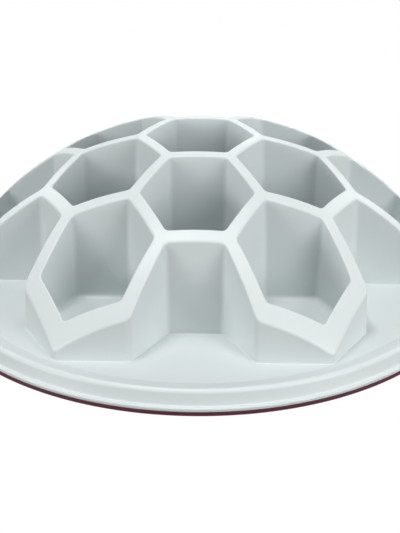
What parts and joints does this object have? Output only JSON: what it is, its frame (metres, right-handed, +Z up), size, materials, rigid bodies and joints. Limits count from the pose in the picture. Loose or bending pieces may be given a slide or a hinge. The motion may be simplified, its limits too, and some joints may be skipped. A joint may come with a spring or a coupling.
{
  "type": "slow feeder bowl",
  "caption": "Round shallow pet dish with a domed honeycomb of deep cells and open bays rising from its floor, and a soft grip ring under the rim.",
  "frame": {"origin": "on the ground under the centre of the bowl, at the underside of the grip ring", "axes": "+Z up along the bowl's axis, -Y out through the middle of one open bay, the side that faces the camera"},
  "size_m": [0.2794, 0.2794, 0.0777],
  "materials": {
    "bowl_plastic": "pale cool grey moulded polypropylene with a fine satin surface",
    "ring_elastomer": "dark berry red thermoplastic elastomer, matt"
  },
  "bodies": {
    "root": {"bowl_body": "bowl_plastic", "grip_ring": "ring_elastomer"}
  },
  "joints": []
}
